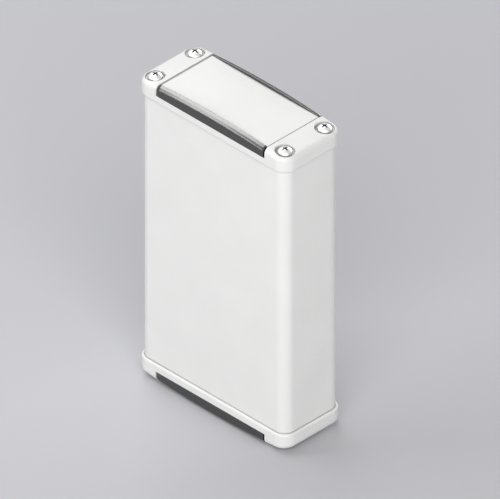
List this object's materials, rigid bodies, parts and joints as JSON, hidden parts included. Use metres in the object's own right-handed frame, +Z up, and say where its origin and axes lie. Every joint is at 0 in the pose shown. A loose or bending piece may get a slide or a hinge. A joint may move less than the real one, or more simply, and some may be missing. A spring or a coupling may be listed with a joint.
{
  "type": "electronics enclosure",
  "caption": "Upright extruded aluminium case with rounded corners, closed by screwed cast end caps with dark trim strips, hollow inside with guides for circuit cards.",
  "frame": {"origin": "on the ground, under the middle of the case, which stands on the arched trims of its lower cap", "axes": "+Z up along the extrusion, +X along the width, -Y out of the broad front face"},
  "size_m": [0.11, 0.044, 0.191],
  "materials": {
    "coated_profile": "fine satin powder coat",
    "coated_casting": "fine satin powder coat",
    "trim_plastic": "moulded, graphite metallic lacquer",
    "gasket_rubber": "matt",
    "screw_steel": "bright rolled stainless"
  },
  "bodies": {
    "root": {"profile_body": "coated_profile", "top_end_cap": "coated_casting", "top_gasket": "gasket_rubber", "top_front_trim": "trim_plastic", "top_back_trim": "trim_plastic", "top_screws": "screw_steel", "bottom_end_cap": "coated_casting", "bottom_gasket": "gasket_rubber", "bottom_front_trim": "trim_plastic", "bottom_back_trim": "trim_plastic", "bottom_screws": "screw_steel"}
  },
  "joints": []
}
